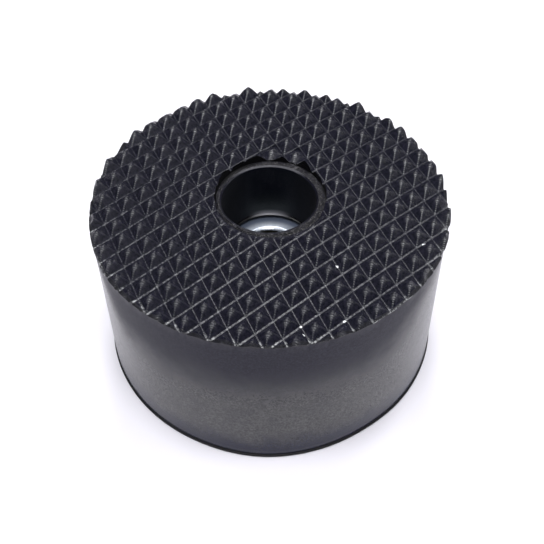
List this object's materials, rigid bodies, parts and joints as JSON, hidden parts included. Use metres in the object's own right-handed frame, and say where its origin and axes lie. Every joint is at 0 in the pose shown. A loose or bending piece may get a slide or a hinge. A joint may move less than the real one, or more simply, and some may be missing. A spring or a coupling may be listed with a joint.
{
  "type": "rubber foot",
  "caption": "Round screw-on rubber foot with a diamond-pyramid tread, a deep bore for the screw head and a steel washer moulded in under it.",
  "frame": {"origin": "centre of the flat mounting base, on the axis of the bore", "axes": "+Z runs along the bore from the flat base out of the tread; the diamonds' long diagonal lies at about 76 degrees from +X"},
  "size_m": [0.0388, 0.0388, 0.0212],
  "materials": {
    "black_rubber": "satin black moulded rubber, fine layered texture on the pyramids",
    "zinc_steel": "zinc plated, pressed"
  },
  "bodies": {
    "root": {"rubber_body": "black_rubber", "steel_washer": "zinc_steel"}
  },
  "joints": []
}
